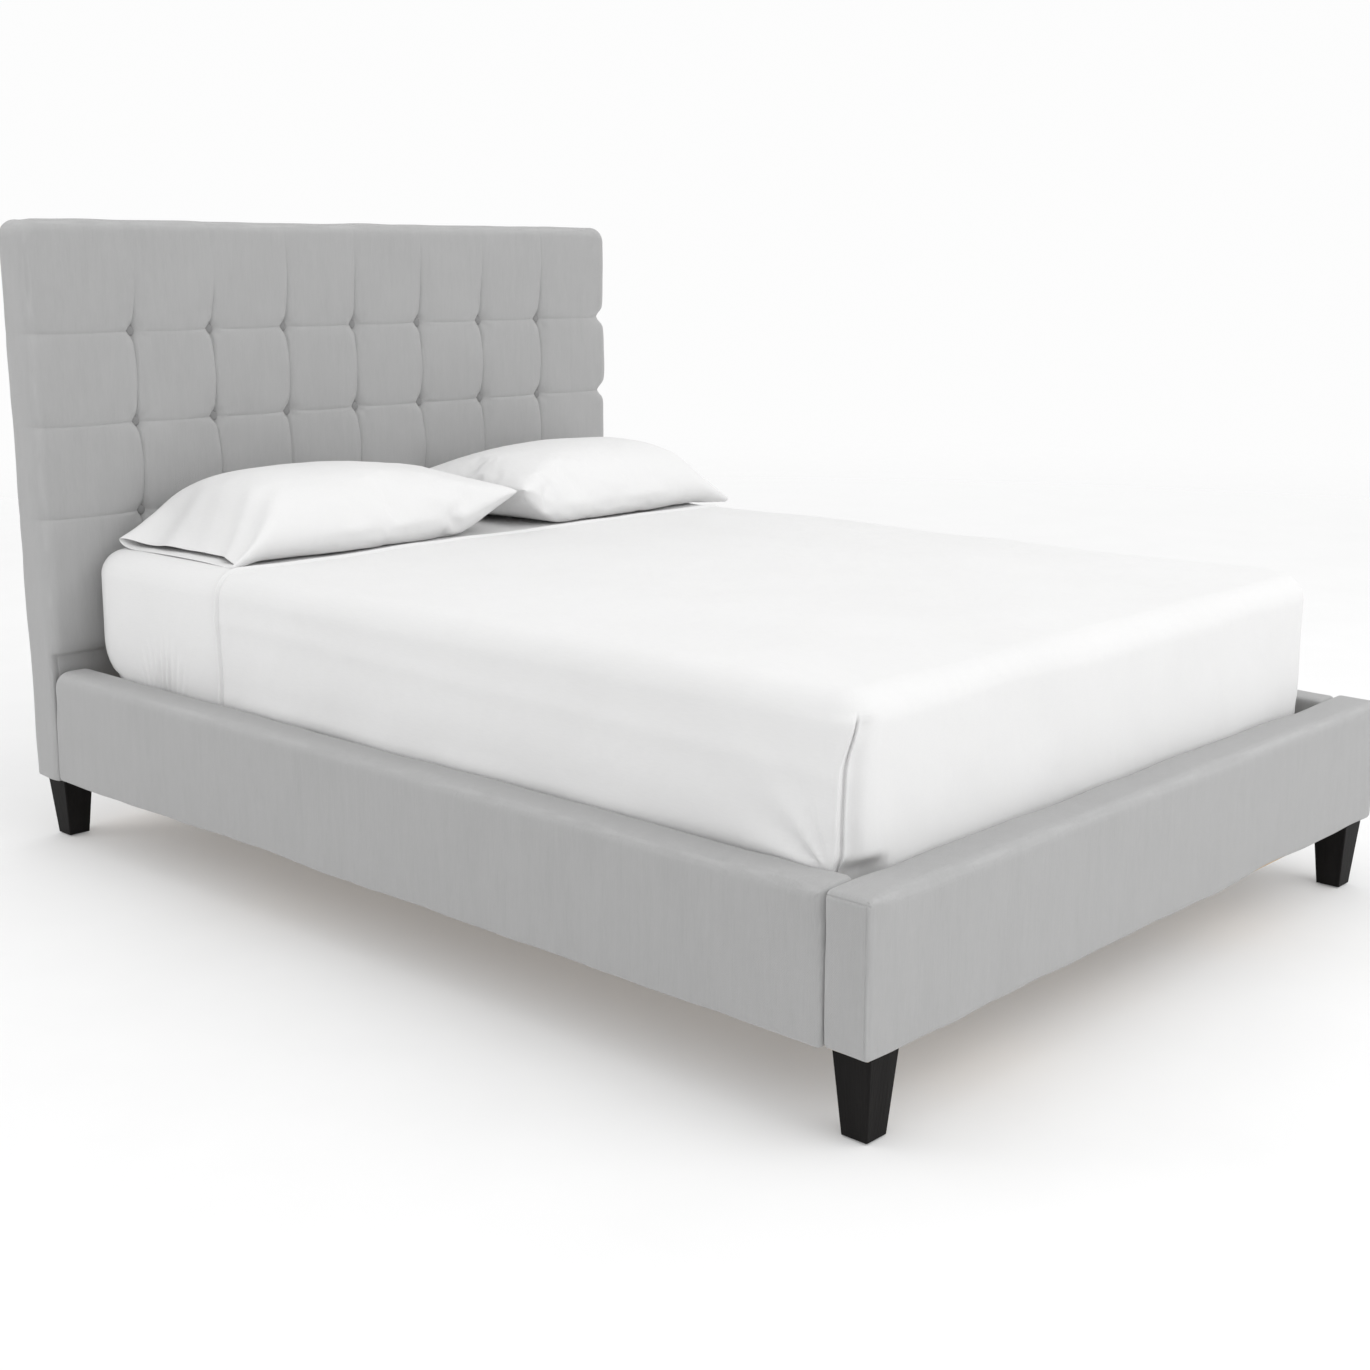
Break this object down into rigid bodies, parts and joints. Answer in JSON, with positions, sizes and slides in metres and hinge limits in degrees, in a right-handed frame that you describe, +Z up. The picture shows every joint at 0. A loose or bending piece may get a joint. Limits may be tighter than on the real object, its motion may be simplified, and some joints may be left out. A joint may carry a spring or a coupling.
{
  "type": "upholstered headboard bed",
  "caption": "Platform bed with a biscuit-tufted upholstered headboard, padded side rails and footboard, tapered wooden legs, a slatted base, a mattress, white sheets and two pillows.",
  "frame": {"origin": "on the floor at the centre of the bed's outline", "axes": "+X to the right seen from the foot of the bed, +Y along the length towards the headboard, +Z up"},
  "size_m": [1.534, 2.096, 1.214],
  "materials": {
    "upholstery_fabric": "light grey brushed weave",
    "button_fabric": "light grey brushed weave",
    "back_cloth": "plain grey upholstery backing",
    "foam": "cream polyurethane foam",
    "plywood": "raw plywood",
    "frame_wood": "planed pine",
    "leg_wood": "near-black espresso stain, satin",
    "beam_wood": "planed pine",
    "slat_wood": "planed pine",
    "webbing": "woven polyester webbing",
    "cord": "waxed tufting twine",
    "anchor_plastic": "moulded",
    "bracket_steel": "black powder coat",
    "zinc_steel": "bright zinc plate",
    "foot_plastic": "moulded nylon",
    "ticking": "white knitted ticking",
    "spring_steel": "drawn wire",
    "sheet_cotton": "white percale cotton",
    "pillowcase_cotton": "white percale cotton",
    "pillow_fibre": "polyester fibre fill in a cotton shell"
  },
  "bodies": {
    "frame": {"beam_brackets": "bracket_steel", "centre_beam": "beam_wood", "centre_leg_foot": "beam_wood", "centre_leg_head": "beam_wood", "corner_bolts": "zinc_steel", "corner_brackets": "bracket_steel", "footboard_bottom_rail": "frame_wood", "footboard_cover": "upholstery_fabric", "footboard_foam": "foam", "footboard_panel": "plywood", "footboard_posts": "frame_wood", "footboard_top_rail": "frame_wood", "headboard_back_cloth": "back_cloth", "headboard_bottom_rail": "frame_wood", "headboard_button_ties": "cord", "headboard_buttons": "button_fabric", "headboard_cover": "upholstery_fabric", "headboard_foam": "foam", "headboard_lower_foam": "foam", "headboard_mid_rail": "frame_wood", "headboard_panel": "plywood", "headboard_stile_left": "frame_wood", "headboard_stile_right": "frame_wood", "headboard_tie_anchors": "anchor_plastic", "headboard_top_rail": "frame_wood", "leg_foot_left": "leg_wood", "leg_foot_right": "leg_wood", "leg_glides": "foot_plastic", "leg_hanger_bolts": "zinc_steel", "leg_head_left": "leg_wood", "leg_head_right": "leg_wood", "leg_plates": "zinc_steel", "levelling_nuts": "zinc_steel", "side_rail_board_left": "frame_wood", "side_rail_board_right": "frame_wood", "side_rail_cover_left": "upholstery_fabric", "side_rail_cover_right": "upholstery_fabric", "side_rail_foam_left": "foam", "side_rail_foam_right": "foam", "side_rail_ledger_left": "frame_wood", "side_rail_ledger_right": "frame_wood", "slat_straps": "webbing", "slats": "slat_wood", "threaded_inserts": "zinc_steel", "wood_screws": "zinc_steel"},
    "mattress": {"fitted_sheet": "sheet_cotton", "flat_sheet": "sheet_cotton", "mattress_base_foam": "foam", "mattress_comfort_foam": "foam", "mattress_edge_foam": "foam", "mattress_springs": "spring_steel", "mattress_ticking": "ticking"},
    "pillow_left": {"pillow_left": "pillow_fibre", "pillowcase_left": "pillowcase_cotton"},
    "pillow_right": {"pillow_right": "pillow_fibre", "pillowcase_right": "pillowcase_cotton"},
    "foot_pad_foot": {"levelling_pad_foot": "foot_plastic"},
    "foot_pad_head": {"levelling_pad_head": "foot_plastic"},
    "foot_stud_foot": {"levelling_stud_foot": "zinc_steel"},
    "foot_stud_head": {"levelling_stud_head": "zinc_steel"}
  },
  "joints": [
    {"name": "mattress_lift", "type": "slide", "parent": "frame", "child": "mattress", "axis": [0, 0, 1], "range_m": [0, 0.4]},
    {"name": "pillow_left_lift", "type": "slide", "parent": "mattress", "child": "pillow_left", "axis": [0, 0, 1], "range_m": [0, 0.3]},
    {"name": "pillow_right_lift", "type": "slide", "parent": "mattress", "child": "pillow_right", "axis": [0, 0, 1], "range_m": [0, 0.3]},
    {"name": "level_foot_travel", "type": "slide", "parent": "frame", "child": "foot_pad_foot", "axis": [0, 0, -1], "range_m": [0, 0.015]},
    {"name": "level_foot_turn", "type": "hinge", "parent": "foot_pad_foot", "child": "foot_stud_foot", "pos_m": [0, -0.33, 0.02], "axis": [0, 0, -1], "range_deg": [-5, 4325]},
    {"name": "level_head_travel", "type": "slide", "parent": "frame", "child": "foot_pad_head", "axis": [0, 0, -1], "range_m": [0, 0.015]},
    {"name": "level_head_turn", "type": "hinge", "parent": "foot_pad_head", "child": "foot_stud_head", "pos_m": [0, 0.33, 0.02], "axis": [0, 0, -1], "range_deg": [-5, 4325]}
  ],
  "couplings": [
    {"joint": "level_foot_turn", "follows": "level_foot_travel", "rad_per_m": 5026.5},
    {"joint": "level_head_turn", "follows": "level_head_travel", "rad_per_m": 5026.5}
  ]
}
